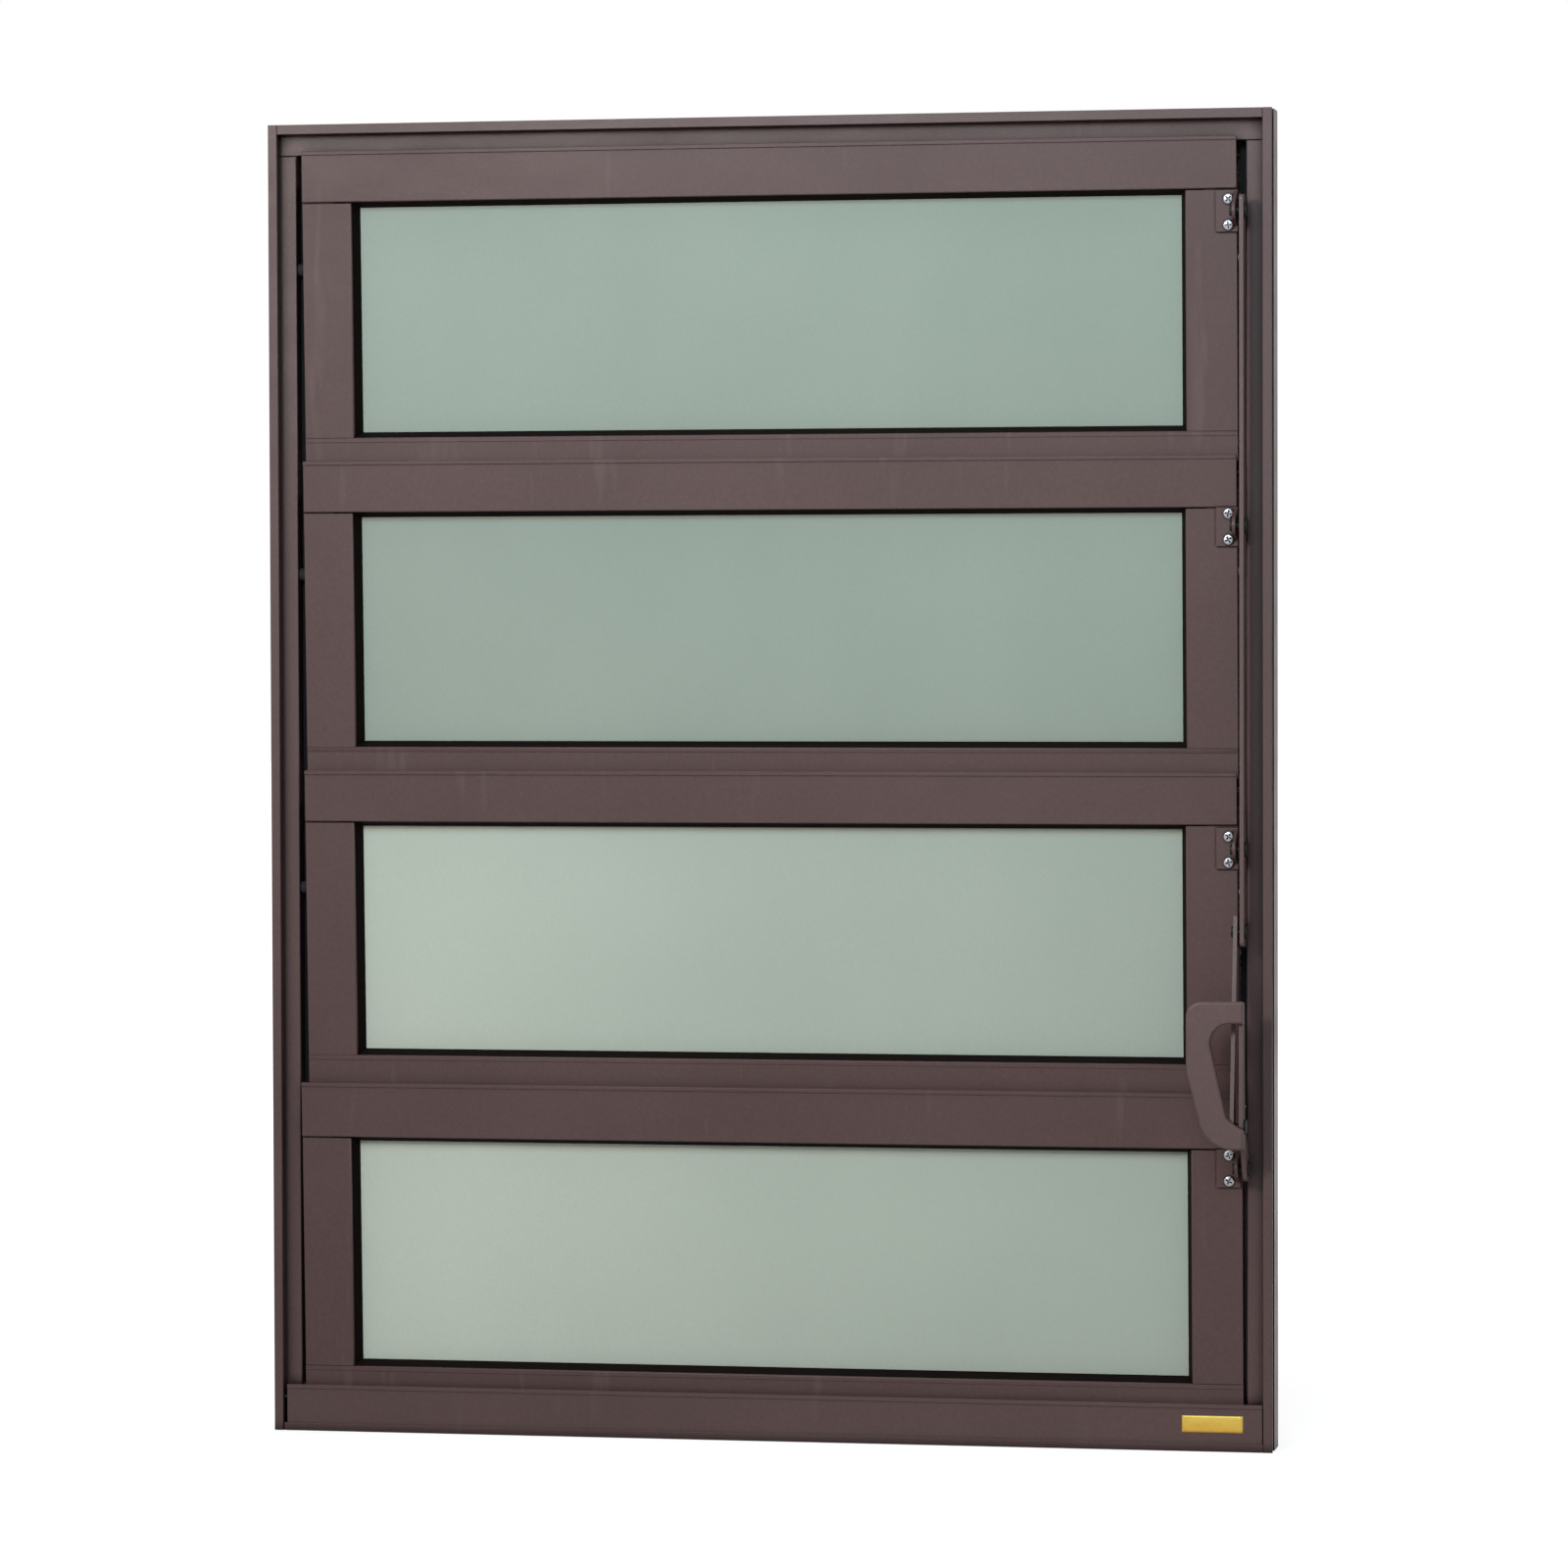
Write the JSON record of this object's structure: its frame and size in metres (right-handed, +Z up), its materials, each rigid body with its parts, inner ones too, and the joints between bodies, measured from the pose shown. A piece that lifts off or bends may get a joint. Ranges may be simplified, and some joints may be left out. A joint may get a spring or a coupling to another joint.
{
  "type": "horizontal pivot window",
  "caption": "Window with pivoting vents over a fixed light, opened together by a lever and a flat-bar linkage at its side.",
  "frame": {"origin": "middle of the sill's underside, at half the frame's width and depth", "axes": "+X towards the lever side, +Y outdoors, +Z up"},
  "size_m": [0.6, 0.0845, 0.78],
  "materials": {
    "frame_paint": "satin red-brown powder coat",
    "leaf_paint": "satin red-brown powder coat",
    "bracket_paint": "satin red-brown powder coat",
    "lever_paint": "satin red-brown powder coat",
    "rivet": "blackened, satin",
    "steel_pin": "zinc plated",
    "nylon": "matte",
    "gasket": "matte",
    "glass": "frosted, slightly green"
  },
  "bodies": {
    "frame": {"left_jamb": "frame_paint", "right_jamb": "frame_paint", "head": "frame_paint", "sill": "frame_paint", "pivot_bushes": "nylon", "fixed_top_rail": "leaf_paint", "fixed_bottom_rail": "leaf_paint", "fixed_left_stile": "leaf_paint", "fixed_right_stile": "leaf_paint", "fixed_glass": "glass", "fixed_gasket": "gasket", "fixed_bracket": "bracket_paint"},
    "vent_1": {"vent_1_top_rail": "leaf_paint", "vent_1_bottom_rail": "leaf_paint", "vent_1_left_stile": "leaf_paint", "vent_1_right_stile": "leaf_paint", "vent_1_glass": "glass", "vent_1_gasket": "gasket", "vent_1_bracket": "bracket_paint", "vent_1_pivot_pins": "steel_pin"},
    "vent_2": {"vent_2_top_rail": "leaf_paint", "vent_2_bottom_rail": "leaf_paint", "vent_2_left_stile": "leaf_paint", "vent_2_right_stile": "leaf_paint", "vent_2_glass": "glass", "vent_2_gasket": "gasket", "vent_2_bracket": "bracket_paint", "vent_2_pivot_pins": "steel_pin"},
    "vent_3": {"vent_3_top_rail": "leaf_paint", "vent_3_bottom_rail": "leaf_paint", "vent_3_left_stile": "leaf_paint", "vent_3_right_stile": "leaf_paint", "vent_3_glass": "glass", "vent_3_gasket": "gasket", "vent_3_bracket": "bracket_paint", "vent_3_pivot_pins": "steel_pin"},
    "connecting_bar": {"connecting_bar": "lever_paint", "bar_rivets": "rivet"},
    "link_bar": {"link_bar": "lever_paint"},
    "lever": {"lever_arm": "lever_paint", "lever_handle": "lever_paint", "lever_rivets": "rivet"}
  },
  "joints": [
    {"name": "vent_1_pivot", "type": "hinge", "parent": "frame", "child": "vent_1", "pos_m": [0, -0.012, 0.6943], "axis": [1, 0, 0], "range_deg": [0, 60]},
    {"name": "vent_2_pivot", "type": "hinge", "parent": "frame", "child": "vent_2", "pos_m": [0, -0.012, 0.5125], "axis": [1, 0, 0], "range_deg": [0, 60]},
    {"name": "vent_3_pivot", "type": "hinge", "parent": "frame", "child": "vent_3", "pos_m": [0, -0.012, 0.3252], "axis": [1, 0, 0], "range_deg": [0, 60]},
    {"name": "lever_pivot", "type": "hinge", "parent": "frame", "child": "lever", "pos_m": [0.2854, -0.031, 0.166], "axis": [1, 0, 0], "range_deg": [0, 60]},
    {"name": "bar_pivot", "type": "hinge", "parent": "vent_1", "child": "connecting_bar", "pos_m": [0.2838, -0.031, 0.7203], "axis": [1, 0, 0], "range_deg": [-60, 0]},
    {"name": "link_pivot", "type": "hinge", "parent": "lever", "child": "link_bar", "pos_m": [0.28, -0.05, 0.192], "axis": [1, 0, 0], "range_deg": [-60, 0]}
  ],
  "couplings": [
    {"joint": "vent_2_pivot", "follows": "vent_1_pivot", "ratio": 1},
    {"joint": "vent_3_pivot", "follows": "vent_1_pivot", "ratio": 1},
    {"joint": "lever_pivot", "follows": "vent_1_pivot", "ratio": 1},
    {"joint": "bar_pivot", "follows": "vent_1_pivot", "ratio": -1},
    {"joint": "link_pivot", "follows": "vent_1_pivot", "ratio": -1}
  ]
}
